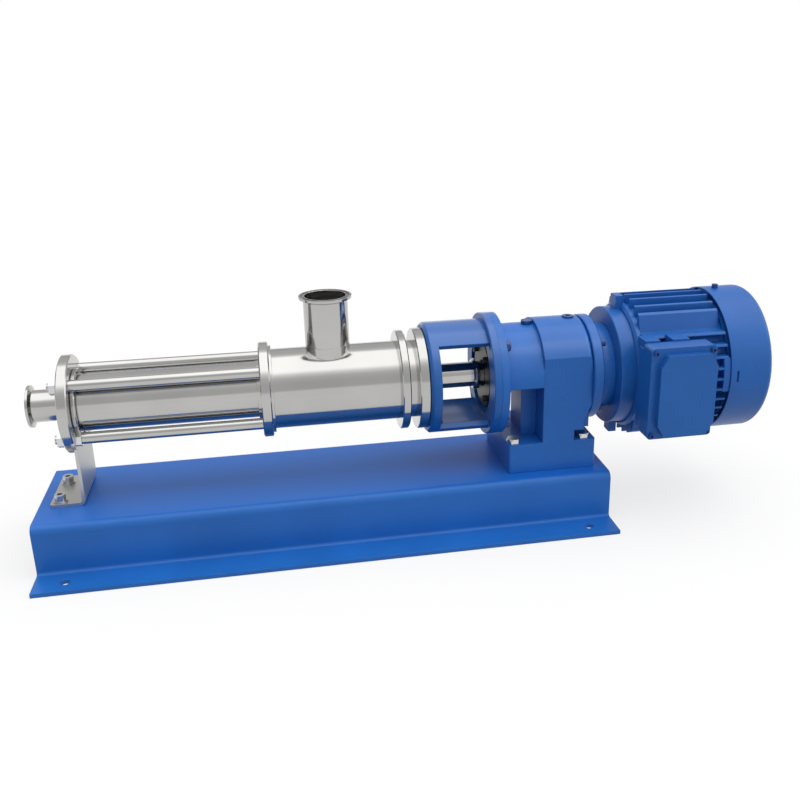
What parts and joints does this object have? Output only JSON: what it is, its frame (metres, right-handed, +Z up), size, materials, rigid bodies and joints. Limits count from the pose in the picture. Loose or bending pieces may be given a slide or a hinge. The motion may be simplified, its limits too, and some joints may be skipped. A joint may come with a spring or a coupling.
{
  "type": "progressive cavity pump",
  "caption": "Sanitary progressive cavity pump: a helical rotor turns in a rubber-lined stator, driven through an inline gearbox by an electric motor on a folded base plate.",
  "frame": {"origin": "centre of the four hold-down bolts on the floor plane, under the base plate", "axes": "+X along the pump axis from the discharge end to the motor, +Y away from the terminal box, +Z up"},
  "size_m": [0.906, 0.255, 0.2984],
  "materials": {
    "black_plastic": "matt",
    "black_rubber": "matt",
    "blue_enamel": "gloss",
    "blue_steel": "gloss",
    "copper": "enamelled wire",
    "dark_cover": "satin",
    "lamination": "raw",
    "lining_rubber": "matt",
    "machined_steel": "ground",
    "polished_stainless": "mirror polished",
    "seal_face": "lapped",
    "zinc_steel": "bright"
  },
  "bodies": {
    "pump_unit": {"base_plate": "blue_enamel", "bearing_cover": "dark_cover", "bearing_cover_screws": "zinc_steel", "cowl_screws": "zinc_steel", "discharge_casing": "polished_stainless", "discharge_support": "polished_stainless", "fan_cowl": "blue_enamel", "foot_bolts": "zinc_steel", "foot_nuts": "zinc_steel", "gearbox_housing": "blue_enamel", "input_cover": "blue_enamel", "input_cover_screws": "zinc_steel", "input_oil_seal": "black_rubber", "lantern": "blue_enamel", "lantern_bolts": "blue_steel", "lantern_screws": "zinc_steel", "layshaft_bearings": "machined_steel", "lid_screws": "zinc_steel", "motor_bearings": "machined_steel", "motor_drive_shield": "blue_enamel", "motor_fan_shield": "blue_enamel", "motor_flange_screws": "zinc_steel", "motor_frame": "blue_enamel", "oil_plugs": "black_plastic", "output_bearings": "machined_steel", "output_oil_seal": "black_rubber", "seal_cover": "polished_stainless", "seal_cover_screws": "zinc_steel", "seal_seat": "seal_face", "stator_core": "lamination", "stator_lining": "lining_rubber", "stator_tube": "polished_stainless", "stator_winding": "copper", "suction_branch": "polished_stainless", "suction_housing": "polished_stainless", "support_lock_nuts": "zinc_steel", "support_nuts": "zinc_steel", "support_screws": "zinc_steel", "support_washers": "zinc_steel", "terminal_board": "black_plastic", "terminal_box": "blue_enamel", "terminal_box_lid": "blue_enamel", "tie_rod_nuts": "zinc_steel", "tie_rods": "polished_stainless"},
    "motor_rotor": {"motor_shaft": "machined_steel", "motor_rotor_core": "lamination", "input_pinion": "machined_steel", "cooling_fan": "black_plastic"},
    "layshaft_set": {"layshaft": "machined_steel", "layshaft_pinion": "machined_steel", "layshaft_wheel": "machined_steel"},
    "drive_set": {"drive_shaft": "polished_stainless", "drive_joint_pin": "polished_stainless", "shaft_slinger": "polished_stainless", "seal_rotating_ring": "seal_face", "output_gear": "machined_steel"},
    "orbit_ball": {"thrust_ball": "machined_steel"},
    "screw_set": {"pump_rotor": "polished_stainless", "rotor_joint_pin": "polished_stainless"},
    "coupling_rod_body": {"coupling_rod": "polished_stainless"}
  },
  "joints": [
    {"name": "motor_spin", "type": "hinge", "parent": "pump_unit", "child": "motor_rotor", "pos_m": [0.44, 0, 0.184], "axis": [1, 0, 0], "continuous": true},
    {"name": "layshaft_spin", "type": "hinge", "parent": "pump_unit", "child": "layshaft_set", "pos_m": [0.3, 0, 0.1432], "axis": [1, 0, 0], "continuous": true},
    {"name": "drive_spin", "type": "hinge", "parent": "pump_unit", "child": "drive_set", "pos_m": [0.2, 0, 0.184], "axis": [1, 0, 0], "continuous": true},
    {"name": "rotor_orbit", "type": "hinge", "parent": "pump_unit", "child": "orbit_ball", "pos_m": [-0.0673, 0, 0.184], "axis": [1, 0, 0], "continuous": true},
    {"name": "rotor_spin", "type": "hinge", "parent": "orbit_ball", "child": "screw_set", "pos_m": [-0.18, 0, 0.1795], "axis": [1, 0, 0], "continuous": true},
    {"name": "coupling_rod_spin", "type": "hinge", "parent": "orbit_ball", "child": "coupling_rod_body", "pos_m": [-0.052, 0, 0.1795], "axis": [0.9993, 0, 0.0363], "continuous": true}
  ],
  "couplings": [
    {"joint": "layshaft_spin", "follows": "motor_spin", "ratio": -0.5},
    {"joint": "drive_spin", "follows": "motor_spin", "ratio": 0.25},
    {"joint": "rotor_orbit", "follows": "motor_spin", "ratio": -0.25},
    {"joint": "rotor_spin", "follows": "motor_spin", "ratio": 0.5},
    {"joint": "coupling_rod_spin", "follows": "motor_spin", "ratio": 0.5}
  ]
}
